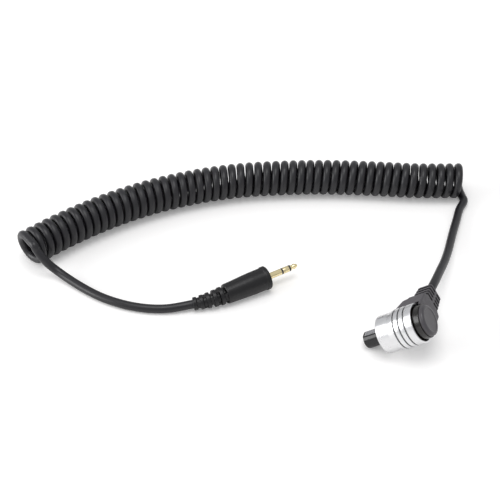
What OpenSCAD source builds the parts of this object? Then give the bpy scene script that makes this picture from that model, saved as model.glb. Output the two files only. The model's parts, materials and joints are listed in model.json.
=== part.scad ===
// Cable shutter release, electronic type.
// Three-contact camera plug with a sprung lock collar and a right-angle boot,
// a left-hand curly cord, and a 2.5 mm three-pole jack. All sizes in mm.

/* [Plug nose] */
// Outside diameter of the nose shell
nose_d = 6.3; // [6:0.1:6.6]
// Length of the nose in front of the collar
nose_len = 7.7; // [7:0.1:8.4]
// Wall of the nose shell
nose_wall = 0.7; // [0.6:0.05:0.8]
// Diameter of the circle that the contacts sit on
contact_circle_d = 2.8; // [2.4:0.1:3]
// Bore of each contact socket
socket_bore_d = 0.56; // [0.4:0.02:0.6]
// Width of the keyway along the nose
keyway_w = 1.2; // [0.8:0.1:1.6]

/* [Lock collar] */
// Largest diameter of the collar
collar_d = 15; // [14.8:0.1:15.2]
// Length of the collar
collar_len = 15.1; // [14.6:0.1:16]
// How far the collar pulls back to free the claws
collar_travel = 1; // [0.6:0.1:1.2]
// Grip grooves round the collar
groove_count = 3; // [1:1:3]
// Turns of the return spring
spring_turns = 5; // [4:1:6]
// Width of each latch claw
claw_w = 2.2; // [1.8:0.1:2.4]

/* [Barrel and boot] */
// Diameter of the barrel behind the collar
barrel_d = 12.4; // [12.2:0.1:12.6]
// Diameter of the end cap
cap_d = 11; // [10.6:0.1:11.8]
// Width of the boot across the collar
boot_w = 11.8; // [11.2:0.1:12]
// Reach of the boot from the plug axis
boot_reach = 21.3; // [20.6:0.1:22]
// Slots on each side of the boot's spine
boot_slots = 4; // [2:1:4]
// Width of each slot
slot_w = 0.9; // [0.6:0.1:1.1]

/* [Cord] */
// Diameter of the cord
cord_d = 3.4; // [3.2:0.05:3.4]
// Outside diameter of the curls
coil_d = 15.2; // [14.8:0.1:15.6]
// Curls from end to end
coil_turns = 51.5; // [44.5:1:52.5]

/* [Jack] */
// Diameter of the contact shaft
jack_d = 2.5; // [2.4:0.1:2.6]
// Length of the sleeve contact
sleeve_len = 4.35; // [4:0.05:4.6]
// Length of the ring contact
ring_len = 2.7; // [2.4:0.1:3]
// Length of the tip contact
tip_len = 3.2; // [2.8:0.1:3.6]
// Largest diameter of the grip
grip_d = 9.5; // [9.1:0.1:10]
// Length of the grip
grip_len = 20.5; // [19:0.5:22]
// Segments of the strain relief
relief_rings = 5; // [4:1:6]

/* [Hidden] */
$fn = 48;
eps = 0.02;

// Attitude of the plug and of the jack as they lie
plug_pitch = 36.1;
plug_yaw = -14.5;
plug_roll = -10;
plug_shift = [-6.85, -4.05];
jack_pitch = 2.5;
jack_yaw = 29;
jack_shift = [-47.7, 30.6];

// Plug: along its axis, zero is the collar's front face
nose_r = nose_d / 2;
nose_tip_chamfer = 0.55;
stem_r = nose_r - 0.35;
stem_z = -1;
stem_end_z = 6.2;
insert_r = nose_r - nose_wall;
insert_end_z = 5.9;
keyway_depth = 0.4;
keyway_angle = 137;
socket_r = 0.5;
socket_front_z = 0.8 - nose_len;
socket_end_z = 6.9;
cup_z = 6.2;
cup_r = 0.32;
contact_count = 3;

collar_r = collar_d / 2;
collar_step = 0.4;
collar_front_r = collar_r - collar_step;
step_z = [5, 7.2];
rim_r = 1;
rear_edge = 0.3;
groove_w = 0.45;
groove_depth = 0.45;
groove_z = 7.5;
groove_pitch = 2.15;
running_gap = 0.05;
barrel_gap = 0.2;
rear_room = 0.65;

barrel_r = barrel_d / 2;
guide_r = 5.55;
groove_floor_r = 4.9;
barrel_front_r = 5.25;
barrel_bore_r = 4.4;
ring_z = 4.3;
guide_z = 4.9;
flange_z = collar_len - 2.5;
lip_z = flange_z + 0.3;
neck_z = collar_len + collar_travel + 0.15;
wire_z = neck_z + 0.35;
boot_rear_z = neck_z + 0.9;
barrel_end_z = neck_z + 2.1;
cap_end_z = barrel_end_z + 0.85;

spring_wire_r = 0.2;
spring_r = 5.95;
spring_z0 = guide_z + 2.05 + spring_wire_r;
spring_z1 = flange_z - 0.05 - spring_wire_r;
spring_steps = 16;

claw_angle = 105;
claw_sides = [0, 180];
claw_r = 4.3;
claw_t = 0.7;
claw_hook = 0.45;
claw_front_z = -0.8;
claw_end_z = 4.1;
pivot_r = 4.5;
pivot_z = 3.4;
pivot_pin_r = 0.35;
pivot_gap = 0.03;
pivot_pin_len = 3.8;
claw_slot_w = claw_w + 0.4;

// Boot: x runs along the cord's way out, y across it, z along the plug
boot_x0 = 3.4;
boot_body_x = 11.3;
boot_half = boot_w / 2;
boot_depth = 11.75;
boot_front_z = boot_rear_z - boot_depth;
boot_edge = 0.6;
boot_taper = 0.15;
boot_shoulder = 0.6;
shoulder_run = 1.8;
shoulder_rise = 1.5;
relief_depth = 7.15;
relief_z = boot_rear_z - relief_depth;
relief_half = 4.2;
relief_edge = 0.8;
relief_nose = 0.9;
relief_taper = [0.45, 1.15];
relief_front = [0.2, 0.8];
relief_rear = [0.3, 1.1];
collar_room = 0.25;
collar_room_r = collar_r + collar_room;
cord_z = neck_z - 2.75;
cord_r = cord_d / 2;
cord_in_x = 11;
channel_x = 8.3;
slot_x = 13.1;
slot_pitch = (boot_reach - slot_x - 2.2) / 3;
spine_half = 0.55;
slot_wall = 0.25;
slot_side_y = 3;
clamp_x = cord_in_x + 0.2;
clamp_len = 1.4;
clamp_r = cord_r + 0.55;
wire_r = 0.22;
wire_slot_w = 2.6;
wire_slot_h = 0.5;
wire_slot_x = 9.2;

// Cord: ground points, each with its height above the resting cord
floor_gap = 0.05;
coil_r = (coil_d - cord_d) / 2;
curl_r = cord_r - 0.15;
coil_z = coil_d / 2 + floor_gap;
coil_steps = 8;
coil_axis = [
  [-144.5, 44], [-130, 57], [-114.5, 68.5], [-97.5, 78], [-79.5, 85],
  [-61, 89.5], [-41.5, 91.5], [-22.5, 92], [-3, 91], [16, 89.5], [35.5, 89.5]
];
head_route = [
  [12.6, 16.5, 9.8], [14.9, 22, 8.6], [17.6, 29, 6.8], [20.7, 37, 4.7],
  [23.6, 45.5, 2.9], [26, 53.5, 1.6], [28.4, 61.5, 0.7], [31, 69.5, 0.2],
  [33.4, 77, 0]
];
jack_route = [
  [-139.6, 38, 9.7], [-137.3, 36.5, 6.9], [-135.1, 36, 4], [-132.2, 35, 1.8],
  [-128.1, 32.2, 0.6], [-122, 27.5, 0.1], [-114.6, 22.3, 0], [-107.2, 18.5, 0],
  [-100, 16.1, 0], [-93, 15, 0], [-86.3, 15.1, 0.2]
];

// Jack: x runs forward along the shaft, zero is the grip's front face
jack_r = jack_d / 2;
band_len = 0.7;
ring_x = sleeve_len + band_len;
tip_x = ring_x + ring_len + band_len;
jack_end_x = tip_x + tip_len;
shank_r = jack_r + 0.3;
shank_flange_r = jack_r + 0.6;
grip_r = grip_d / 2;
grip_flange = 1.9;
grip_rear_r = grip_r - 0.8;
mould_r = 3.3;
mould_wall = 0.6;
mould_x0 = -13;
mould_front_x = -2.6;
tags_x = -9;
rod_r = 0.4;
ring_tube_r = 0.8;
inner_wall_r = 0.6;
sleeve_wall_r = 1;
bend_r = 31.4;
bend_angle = 23.4;
bend_roll = -20;
relief_step = bend_angle / relief_rings;
relief_gap = 0.4 * relief_step;
relief_r0 = 3.6;
relief_r1 = 2.6;

// Vectors
function unit(v) = v / norm(v);
function cut(x, low, high) = min(max(x, low), high);

// Smooth curve through points p, with t counted in points
function curve(p, t) =
  let (i = cut(floor(t), 0, len(p) - 2), f = t - i, b = p[i], c = p[i + 1])
  let (a = i > 0 ? p[i - 1] : 2 * b - c)
  let (d = i + 2 < len(p) ? p[i + 2] : 2 * c - b)
  b + f / 2 * ((c - a) + f * ((2 * a - 5 * b + 4 * c - d)
    + f * (3 * (b - c) + d - a)));

// Direction of a path at its point i, square to both ends
function along(p, i) = unit(p[min(i + 1, len(p) - 1)] - p[max(i - 1, 0)]);

// Plug frame to the frame of the whole part
function turn_z(v, a) =
  [v.x * cos(a) - v.y * sin(a), v.x * sin(a) + v.y * cos(a), v.z];
function turn_y(v, a) =
  [v.x * cos(a) + v.z * sin(a), v.y, v.z * cos(a) - v.x * sin(a)];
plug_drop = (nose_len - nose_tip_chamfer) * sin(plug_pitch)
  + nose_r * cos(plug_pitch);
plug_seat = [plug_shift.x, plug_shift.y, plug_drop];
function from_plug(v) =
  plug_seat + turn_z(turn_y(turn_z(v, 90 + plug_roll), 90 - plug_pitch), plug_yaw);
jack_seat = [jack_shift.x, jack_shift.y, grip_r + 0.15];
function from_jack(v) = jack_seat + turn_z(turn_y(v, -jack_pitch), jack_yaw);

// Point on the bent strain relief, a degrees round its bend from the grip
function relief_point(a) =
  let (side = bend_r * (1 - cos(a)))
  from_jack([
    -grip_len - bend_r * sin(a), side * cos(bend_roll), side * sin(bend_roll)
  ]);
function relief_r(i) =
  relief_r0 + (relief_r1 - relief_r0) * i / (relief_rings - 1);

// Helix of the curly cord, k curls from the head's end
function axis_at(k) =
  curve(coil_axis, (len(coil_axis) - 1) * (1 - k / coil_turns));
function coil_point(k) =
  let (c = axis_at(k), turn = 180 + 360 * k)
  let (a = unit(axis_at(max(k - 0.1, 0)) - axis_at(min(k + 0.1, coil_turns))))
  [
    c.x + a.y * sin(turn) * coil_r,
    c.y - a.x * sin(turn) * coil_r,
    coil_z + cos(turn) * coil_r
  ];
coil_rings = round(coil_turns * coil_steps);
coil_turn_points = [for (i = [0:coil_rings]) coil_point(i / coil_steps)];
function coil_heading(k) = unit(coil_point(k + 0.01) - coil_point(k - 0.01));
coil_start = coil_point(0) - cord_d * coil_heading(0);
coil_end = coil_point(coil_turns) + cord_d * coil_heading(coil_turns);
coil_path = concat([coil_start], coil_turn_points, [coil_end]);

// Whole route of the two free stretches
function lift(p) = [for (v = p) [v.x, v.y, v.z + cord_r + floor_gap]];
head_path = concat(
  [from_plug([cord_in_x, 0, cord_z]), from_plug([boot_reach, 0, cord_z])],
  lift(head_route),
  [2 * coil_start - coil_point(0), coil_start]
);
jack_path = concat(
  [coil_end, 2 * coil_end - coil_point(coil_turns)],
  lift(jack_route),
  [for (i = [relief_rings:-1:0]) relief_point(i * relief_step)],
  [from_jack([mould_x0, 0, 0])]
);
spring_path = [
  for (i = [0:spring_turns * spring_steps])
    let (a = 360 * i / spring_steps, t = i / (spring_turns * spring_steps))
    [spring_r * cos(a), spring_r * sin(a), spring_z0 + (spring_z1 - spring_z0) * t]
];

// Least gap between the curls, measured on the helix points
function gap_to(p, a, b) =
  norm(p - a - cut((p - a) * (b - a) / ((b - a) * (b - a)), 0, 1) * (b - a));
curl_gaps = [
  for (i = [0:coil_rings - coil_steps - 2], j = [coil_steps - 3:coil_steps + 1])
    gap_to(coil_turn_points[i], coil_turn_points[i + j], coil_turn_points[i + j + 1])
];
echo(str("least gap between curls ", min(curl_gaps) - 2 * curl_r, " mm"));
tail_gaps = [
  for (p = lift(jack_route), i = [0:coil_rings - 1])
    gap_to(p, coil_turn_points[i], coil_turn_points[i + 1])
];
echo(str("least gap from the jack's stretch to the curls ",
  min(tail_gaps) - cord_r - curl_r, " mm"));
function length_of(p, i = 1) =
  i >= len(p) ? 0 : norm(p[i] - p[i - 1]) + length_of(p, i + 1);
echo(head_mm = length_of(head_path), coil_mm = length_of(coil_path));
echo(jack_mm = length_of(jack_path));

module at_plug() {
  translate(plug_seat)
    rotate([0, 90 - plug_pitch, plug_yaw])
      rotate([0, 0, 90 + plug_roll])
        children();
}

module at_jack() {
  translate(jack_seat)
    rotate([0, -jack_pitch, jack_yaw])
      children();
}

// Turned piece along the jack's axis
module turned_x() {
  rotate([0, 90, 0])
    rotate_extrude()
      children();
}

module band(r0, r1, z0, z1) {
  translate([r0, z0])
    square([r1 - r0, z1 - z0]);
}

module bore(r, z0, z1) {
  translate([0, 0, z0])
    cylinder(r = r, h = z1 - z0);
}

// Tube of one thickness along a path; up holds one guide vector for each point
module tube(path, r, sides, up) {
  last = len(path) - 1;
  points = [
    for (i = [0:last])
      let (t = along(path, i), s = unit(cross(t, up[i])), u = cross(s, t))
      for (j = [0:sides - 1])
        let (a = 90 + 360 * j / sides)
        path[i] + r * (cos(a) * s + sin(a) * u)
  ];
  walls = [
    for (i = [0:last - 1], j = [0:sides - 1])
      let (k = (j + 1) % sides, a = i * sides, b = a + sides)
      each [[a + j, a + k, b + k], [a + j, b + k, b + j]]
  ];
  caps = [
    for (j = [1:sides - 2], b = last * sides)
      each [[0, j + 1, j], [b, b + j, b + j + 1]]
  ];
  polyhedron(points = points, faces = concat(walls, caps));
}

function same(v, path) = [for (p = path) v];

module nose_shell() {
  color("#141416")
    at_plug()
      difference() {
        rotate_extrude()
          difference() {
            union() {
              band(0, nose_r, -nose_len, stem_z);
              band(0, stem_r, stem_z - eps, stem_end_z);
            }
            band(0, insert_r, -nose_len - 1, stem_end_z + 1);
            translate([nose_r, -nose_len])
              rotate(45)
                square(nose_tip_chamfer * sqrt(2), center = true);
          }
        rotate(keyway_angle)
          translate([nose_r - keyway_depth, -keyway_w / 2, -nose_len - 1])
            cube([2, keyway_w, nose_len + 1 + stem_z]);
      }
}

module each_contact() {
  for (i = [0:contact_count - 1])
    rotate(90 + 360 * i / contact_count)
      translate([contact_circle_d / 2, 0, 0])
        children();
}

module contact_insert() {
  color("#1b1b1e")
    at_plug()
      difference() {
        bore(insert_r, 0.5 - nose_len, insert_end_z);
        each_contact()
          bore(socket_r, -nose_len, insert_end_z + 1);
      }
}

module contact_sockets() {
  color("#c9a552")
    at_plug()
      each_contact()
        difference() {
          bore(socket_r, socket_front_z, socket_end_z);
          bore(socket_bore_d / 2, socket_front_z - 1, -2);
          bore(cup_r, cup_z, socket_end_z + 1);
        }
}

module latch_claw(side) {
  rotate(claw_angle - 90 + side)
    difference() {
      union() {
        translate([-claw_w / 2, 0, 0])
          rotate([90, 0, 90])
            linear_extrude(claw_w)
              polygon([
                [claw_r, claw_front_z],
                [claw_r + claw_t + 0.1, claw_front_z],
                [claw_r + claw_t + claw_hook, claw_front_z + 0.35],
                [claw_r + claw_t + claw_hook, claw_front_z + 0.6],
                [claw_r + claw_t, claw_front_z + 0.6],
                [claw_r + claw_t, claw_end_z],
                [claw_r, claw_end_z]
              ]);
        translate([0, pivot_r, pivot_z])
          rotate([0, 90, 0])
            cylinder(r = 2 * pivot_pin_r, h = claw_w, center = true);
      }
      translate([0, pivot_r, pivot_z])
        rotate([0, 90, 0])
          cylinder(r = pivot_pin_r + pivot_gap, h = claw_w + 1, center = true);
    }
}

module latch_claw_upper() {
  color("#1d1d20")
    at_plug()
      latch_claw(claw_sides[0]);
}

module latch_claw_lower() {
  color("#1d1d20")
    at_plug()
      latch_claw(claw_sides[1]);
}

module pivot_rods(r, length) {
  for (side = claw_sides)
    rotate(claw_angle - 90 + side)
      translate([0, pivot_r, pivot_z])
        rotate([0, 90, 0])
          cylinder(r = r, h = length, center = true);
}

module claw_pivot_pins() {
  color("#9fa3a8")
    at_plug()
      pivot_rods(pivot_pin_r, pivot_pin_len);
}

module collar_outline() {
  polygon([
    [0, 0],
    [collar_front_r - rim_r, 0],
    [collar_front_r - rim_r, rim_r],
    [collar_front_r, rim_r],
    [collar_front_r, step_z[0]],
    [collar_r, step_z[1]],
    [collar_r, collar_len - rear_edge],
    [collar_r - rear_edge, collar_len],
    [0, collar_len]
  ]);
  translate([collar_front_r - rim_r, rim_r])
    circle(rim_r);
}

module lock_collar() {
  color("#c4c6ca")
    at_plug()
      rotate_extrude($fn = 96)
        difference() {
          collar_outline();
          band(0, barrel_front_r + 0.45, -1, 1.2);
          band(0, guide_r + 0.5, 1.2 - eps, guide_z);
          band(0, guide_r + running_gap, guide_z - eps, guide_z + 2);
          band(0, barrel_r + barrel_gap, guide_z + 2 - eps, lip_z);
          band(0, barrel_r + rear_room, lip_z - eps, collar_len + 1);
          for (i = [0:groove_count - 1])
            translate([collar_r - groove_depth, groove_z + i * groove_pitch])
              square([1, groove_w]);
        }
}

module collar_spring() {
  color("#b9bcc0")
    at_plug()
      tube(spring_path, spring_wire_r, 6, same([0, 0, 1], spring_path));
}

module collar_stop_ring() {
  color("#8d9196")
    at_plug()
      rotate_extrude()
        band(groove_floor_r, guide_r + 0.35, ring_z, guide_z - running_gap);
}

// Flat way of the wires out of the barrel, from x0 to x1
module wire_slot(x0, x1) {
  translate([x0, -wire_slot_w / 2, wire_z - wire_slot_h / 2])
    cube([x1 - x0, wire_slot_w, wire_slot_h]);
}

module inner_barrel() {
  color("#2a2a2d")
    at_plug()
      difference() {
        rotate_extrude($fn = 96)
          difference() {
            union() {
              band(0, barrel_front_r, 0.9, ring_z);
              band(0, groove_floor_r, ring_z - eps, guide_z + eps);
              band(0, guide_r, guide_z, flange_z + eps);
              band(0, barrel_r, flange_z, barrel_end_z);
            }
            band(0, stem_r, 0, stem_end_z + eps);
            band(0, barrel_bore_r, stem_end_z, barrel_end_z + 1);
          }
        for (side = claw_sides)
          rotate(claw_angle - 90 + side)
            translate([-claw_slot_w / 2, 0, 0])
              cube([claw_slot_w, barrel_front_r + 1, ring_z]);
        pivot_rods(pivot_pin_r, 2 * barrel_front_r);
        wire_slot(0, barrel_r + 1);
      }
}

module rear_cap() {
  cap_edge = 0.7;
  color("#353538")
    at_plug()
      rotate_extrude($fn = 96)
        difference() {
          union() {
            band(0, barrel_bore_r, barrel_end_z - 1.1, barrel_end_z + eps);
            band(0, cap_d / 2, barrel_end_z, cap_end_z - cap_edge);
            band(0, cap_d / 2 - cap_edge, barrel_end_z, cap_end_z);
            translate([cap_d / 2 - cap_edge, cap_end_z - cap_edge])
              circle(cap_edge);
          }
          band(cap_d / 2 - 2 * cap_edge, cap_d / 2, 0, barrel_end_z);
          polygon([
            [0, cap_end_z - 0.12],
            [cap_d / 2 - 1.5, cap_end_z - 0.12],
            [cap_d / 2 - 1, cap_end_z],
            [cap_d / 2 - 1, cap_end_z + 1],
            [0, cap_end_z + 1]
          ]);
        }
}

// Block with rounded long edges, cut to a plan (x, y) and a side view (x, z)
module rounded_block(half, z0, z1, edge, plan, side_view) {
  x1 = boot_reach + 1;
  intersection() {
    rotate([90, 0, 90])
      linear_extrude(x1)
        union() {
          translate([edge - half, z0])
            square([2 * (half - edge), z1 - z0]);
          translate([-half, z0 + edge])
            square([2 * half, z1 - z0 - 2 * edge]);
          for (y = [edge - half, half - edge], z = [z0 + edge, z1 - edge])
            translate([y, z])
              circle(edge);
        }
    linear_extrude(z1 + 1)
      polygon(plan);
    translate([0, half + 1, 0])
      rotate([90, 0, 0])
        linear_extrude(2 * half + 2)
          polygon(side_view);
  }
}

module boot_outline() {
  rounded_block(
    boot_half, boot_front_z, boot_rear_z, boot_edge,
    plan = [
      [boot_x0, -boot_half],
      [boot_body_x - boot_shoulder / 2, boot_taper - boot_half],
      [boot_body_x + boot_shoulder, -relief_half],
      [boot_body_x + boot_shoulder, relief_half],
      [boot_body_x - boot_shoulder / 2, boot_half - boot_taper],
      [boot_x0, boot_half]
    ],
    side_view = [
      [boot_x0, boot_front_z],
      [boot_body_x - shoulder_run, boot_front_z + shoulder_rise],
      [boot_body_x - 1.1, relief_z - 0.1],
      [boot_body_x + boot_shoulder, relief_z + 0.1],
      [boot_body_x + boot_shoulder, boot_rear_z], [boot_x0, boot_rear_z]
    ]
  );
  rounded_block(
    relief_half, relief_z, boot_rear_z, relief_edge,
    plan = [
      [boot_body_x - 1, -relief_half],
      [boot_reach - 1, relief_taper[0] - relief_half],
      [boot_reach, relief_taper[1] - relief_half],
      [boot_reach, relief_half - relief_taper[1]],
      [boot_reach - 1, relief_half - relief_taper[0]],
      [boot_body_x - 1, relief_half]
    ],
    side_view = [
      [boot_body_x - 1, relief_z],
      [boot_reach - relief_nose, relief_z + relief_front[0]],
      [boot_reach, relief_z + relief_front[1]],
      [boot_reach, boot_rear_z - relief_rear[1]],
      [boot_reach - relief_nose, boot_rear_z - relief_rear[0]],
      [boot_body_x - 1, boot_rear_z]
    ]
  );
}

// Slots that leave a spine front and rear and a core round the cord
module relief_slots() {
  reach = relief_half + 1;
  for (i = [0:boot_slots - 1], side = [0, 1])
    translate([slot_x + i * slot_pitch - slot_w / 2, 0, 0])
      mirror([0, side, 0]) {
        translate([0, spine_half, cord_z + cord_r + slot_wall])
          cube([slot_w, reach, boot_rear_z - cord_z]);
        translate([0, spine_half, relief_z - 1])
          cube([slot_w, reach, cord_z - cord_r - slot_wall - relief_z + 1]);
        translate([0, slot_side_y, relief_z - 1])
          cube([slot_w, reach, boot_rear_z - relief_z + 2]);
      }
}

module elbow_boot() {
  color("#3a3a3e")
    at_plug()
      difference() {
        boot_outline();
        bore(collar_room_r, 0, neck_z);
        bore(barrel_r, neck_z - eps, boot_rear_z + 1);
        relief_slots();
        translate([cord_in_x, 0, cord_z])
          rotate([0, 90, 0])
            cylinder(r = cord_r, h = boot_reach);
        translate([clamp_x, 0, cord_z])
          rotate([0, 90, 0])
            cylinder(r = clamp_r, h = clamp_len);
        translate([channel_x, -2, cord_z - 1.2])
          cube([cord_in_x - channel_x, 4, 4.2]);
        wire_slot(boot_x0, wire_slot_x);
      }
}

module cable_clamp() {
  color("#a9adb2")
    at_plug()
      translate([clamp_x, 0, cord_z])
        rotate([0, 90, 0])
          difference() {
            cylinder(r = clamp_r, h = clamp_len);
            translate([0, 0, -1])
              cylinder(r = cord_r, h = clamp_len + 2);
          }
}

// One wire from the cord's end, through the slot behind the collar, to its cup
function head_wire(i) =
  let (a = 90 + 360 * i / contact_count, y = [0.6, 0, -0.6][i])
  let (x = contact_circle_d / 2 * cos(a), v = contact_circle_d / 2 * sin(a))
  [
    [cord_in_x, y, cord_z], [10.5, y, cord_z + 0.1], [9.8, y, cord_z + 1],
    [9.2, y, wire_z - 1], [8.8, y, wire_z - 0.35], [8.35, y, wire_z],
    [4.2, y, wire_z], [3.2, y, wire_z - 0.4], [2.4, y, wire_z - 1.8],
    [(x + 2) / 2, (y + v) / 2, 11.5], [x, v, 8.6], [x, v, cup_z]
  ];

module head_conductors() {
  color("#a8392f")
    at_plug()
      for (i = [0:contact_count - 1])
        tube(head_wire(i), wire_r, 6, same([0, 1, 0], head_wire(i)));
}

module tail_cord_head() {
  color("#2b2b2e")
    tube(head_path, cord_r, 8, same([0, 0, 1], head_path));
}

module coil_cord() {
  color("#2b2b2e")
    tube(coil_path, curl_r, 6, coil_guides());
}

// Guide vectors that point out from the coil's axis
function coil_guides() =
  let (n = coil_rings)
  [
    for (i = [-1:n + 1])
      let (k = cut(i, 0, n) / coil_steps, c = axis_at(k), p = coil_point(k))
      p - [c.x, c.y, coil_z]
  ];

module tail_cord_jack() {
  color("#2b2b2e")
    tube(jack_path, cord_r, 8, same([0, 0, 1], jack_path));
}

module jack_tip() {
  color("#d2ad5c")
    at_jack()
      turned_x()
        polygon([
          [0, tags_x], [rod_r, tags_x], [rod_r, tip_x],
          [jack_r - 0.1, tip_x], [jack_r - 0.14, tip_x + 0.35],
          [jack_r - 0.45, tip_x + 0.9], [jack_r - 0.1, tip_x + 1.7],
          [jack_r - 0.12, tip_x + 2], [0.55, jack_end_x - 0.1],
          [0.35, jack_end_x], [0, jack_end_x]
        ]);
}

// Insulating tube that shows as a dark band on the shaft
module insulator(r0, r1, x0, x1) {
  turned_x() {
    band(r0, r1, x0, x1);
    band(r0, jack_r, x1 - band_len, x1);
  }
}

module jack_inner_insulator() {
  color("#1a1a1c")
    at_jack()
      insulator(rod_r, inner_wall_r, tags_x + 2, tip_x);
}

module jack_ring() {
  color("#d2ad5c")
    at_jack()
      turned_x() {
        band(inner_wall_r, ring_tube_r, tags_x + 3, ring_x + ring_len);
        band(inner_wall_r, jack_r, ring_x, ring_x + ring_len);
      }
}

module jack_outer_insulator() {
  color("#1a1a1c")
    at_jack()
      insulator(ring_tube_r, sleeve_wall_r, tags_x + 4, ring_x);
}

module jack_sleeve() {
  color("#d2ad5c")
    at_jack()
      turned_x() {
        band(sleeve_wall_r, jack_r, 0, sleeve_len);
        band(sleeve_wall_r, shank_r, tags_x + 4.5, eps);
        band(sleeve_wall_r, shank_flange_r, -0.5, 0.5);
        band(sleeve_wall_r, mould_r - mould_wall, mould_front_x, -1.9);
      }
}

// Solder tag: a collar on its tube and a blade toward the cord
module tag(r, x, y, z) {
  turned_x()
    band(r, r + 0.25, x, x + 0.6);
  translate([x - 1.6, y - 0.4, z])
    cube([2.2, 0.8, 0.3]);
}

module jack_terminals() {
  color("#c9a552")
    at_jack() {
      tag(rod_r, tags_x, 0, rod_r);
      tag(ring_tube_r, tags_x + 3, 1.2, ring_tube_r - 0.65);
      tag(shank_r, tags_x + 4.5, -2, jack_r - 1.3);
    }
}

module jack_inner_mould() {
  color("#e4e4e0")
    at_jack()
      turned_x() {
        band(mould_r - mould_wall, mould_r, mould_x0, mould_front_x);
        band(shank_r, mould_r, mould_front_x - 1, mould_front_x);
      }
}

// Sweep of a flat outline round the bend, from a0 to a1 degrees behind the grip
module bent(a0, a1) {
  translate([-grip_len, 0, 0])
    rotate([bend_roll, 0, 0])
      translate([0, bend_r, 0])
        rotate(-90 - a1)
          rotate_extrude(angle = a1 - a0)
            translate([bend_r, 0])
              children();
}

// Core, then rings with webs between them that stand crosswise in turn
module relief() {
  for (i = [0:relief_rings - 1]) {
    r = relief_r(i);
    a = i * relief_step;
    bent(a + relief_gap, a + relief_step)
      circle(r);
    bent(a - 0.1, a + relief_gap + 0.1)
      rotate(90 * (i % 2))
        square([r * 0.8, r * 1.7], center = true);
  }
  bent(-0.2, bend_angle - 0.1)
    circle(cord_r + 0.4);
}

module grip_outline() {
  turned_x()
    polygon([
      [0, -grip_len], [grip_rear_r - 0.5, -grip_len],
      [grip_rear_r - 0.12, 0.15 - grip_len], [grip_rear_r, 0.6 - grip_len],
      [grip_r - 0.28, -9], [grip_r - 0.25, -grip_flange],
      [grip_r, 0.2 - grip_flange], [grip_r, -0.6],
      [grip_r - 0.15, -0.2], [grip_r - 0.55, 0], [0, 0]
    ]);
}

module jack_grip() {
  color("#303033")
    at_jack()
      difference() {
        union() {
          grip_outline();
          relief();
        }
        turned_x() {
          band(0, cord_r, -grip_len - 0.1, mould_x0 + eps);
          band(0, mould_r, mould_x0, mould_front_x);
          band(0, mould_r - mould_wall, mould_front_x - eps, -1.9);
          band(0, shank_r, -2, 1);
          band(0, shank_flange_r, -0.5, 1);
        }
        bent(0, bend_angle + 1)
          circle(cord_r + running_gap);
      }
}

// One wire from the cord's end to its tag
function jack_wire(x, y, z) =
  [
    [mould_x0, y / 3, z / 3], [mould_x0 + 0.6, y / 3, z / 3],
    [x - 2.2, y, z], [x - 0.5, y, z]
  ];

module jack_conductors() {
  wires = [
    jack_wire(tags_x, 0, rod_r + 0.5),
    jack_wire(tags_x + 3, 1.2, ring_tube_r - 0.15),
    jack_wire(tags_x + 4.5, -2, jack_r - 0.78)
  ];
  color("#a8392f")
    at_jack()
      for (wire = wires)
        tube(wire, wire_r, 6, same([0, 0, 1], wire));
}

nose_shell();
contact_insert();
contact_sockets();
latch_claw_upper();
latch_claw_lower();
claw_pivot_pins();
lock_collar();
collar_spring();
collar_stop_ring();
inner_barrel();
rear_cap();
elbow_boot();
cable_clamp();
head_conductors();
tail_cord_head();
coil_cord();
tail_cord_jack();
jack_tip();
jack_inner_insulator();
jack_ring();
jack_outer_insulator();
jack_sleeve();
jack_terminals();
jack_inner_mould();
jack_grip();
jack_conductors();
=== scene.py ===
"""Studio scene of an electronic cable shutter release.

Sizes are in millimetres until a mesh is made, in the frame of the CAD model.
"""
import json
import math

import bmesh
import bpy
from mathutils import Matrix, Vector


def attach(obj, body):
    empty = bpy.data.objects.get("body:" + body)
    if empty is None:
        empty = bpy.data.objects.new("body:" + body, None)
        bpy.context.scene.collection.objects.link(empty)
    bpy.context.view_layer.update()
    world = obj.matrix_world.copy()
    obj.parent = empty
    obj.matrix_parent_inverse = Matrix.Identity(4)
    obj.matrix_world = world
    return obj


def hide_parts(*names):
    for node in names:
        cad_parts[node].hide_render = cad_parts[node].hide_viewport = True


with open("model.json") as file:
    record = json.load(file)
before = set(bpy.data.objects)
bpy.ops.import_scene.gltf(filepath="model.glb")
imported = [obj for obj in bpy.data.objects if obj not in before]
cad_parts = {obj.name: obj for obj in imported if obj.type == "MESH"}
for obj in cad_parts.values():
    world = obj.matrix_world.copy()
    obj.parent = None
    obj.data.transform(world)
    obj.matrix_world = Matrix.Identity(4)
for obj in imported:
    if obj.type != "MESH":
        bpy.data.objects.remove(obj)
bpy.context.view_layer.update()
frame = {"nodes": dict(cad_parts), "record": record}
nodes = frame["nodes"]
MM = 0.001
BODY = "plug_body"

# ---------------------------------------------------------------- camera

CAMERA_DOWN = 40
CAMERA_AIM = Vector((-56, 52, 0))
CAMERA_DISTANCE = 430.3
FOCAL_PX = 1050
FRAME_PX = 500


def add_camera():
    down = math.radians(CAMERA_DOWN)
    data = bpy.data.cameras.new("camera")
    data.sensor_width = 36
    data.lens = data.sensor_width * FOCAL_PX / FRAME_PX
    data.clip_start = 0.01
    camera = bpy.data.objects.new("camera", data)
    back = Vector((0, -math.cos(down), math.sin(down)))
    camera.location = (CAMERA_AIM + back * CAMERA_DISTANCE) * MM
    camera.rotation_euler = (math.pi / 2 - down, 0, 0)
    bpy.context.scene.collection.objects.link(camera)
    bpy.context.scene.camera = camera


# ------------------------------------------------- frames of plug and jack


def turn(axis, degrees):
    return Matrix.Rotation(math.radians(degrees), 4, axis)


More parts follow.
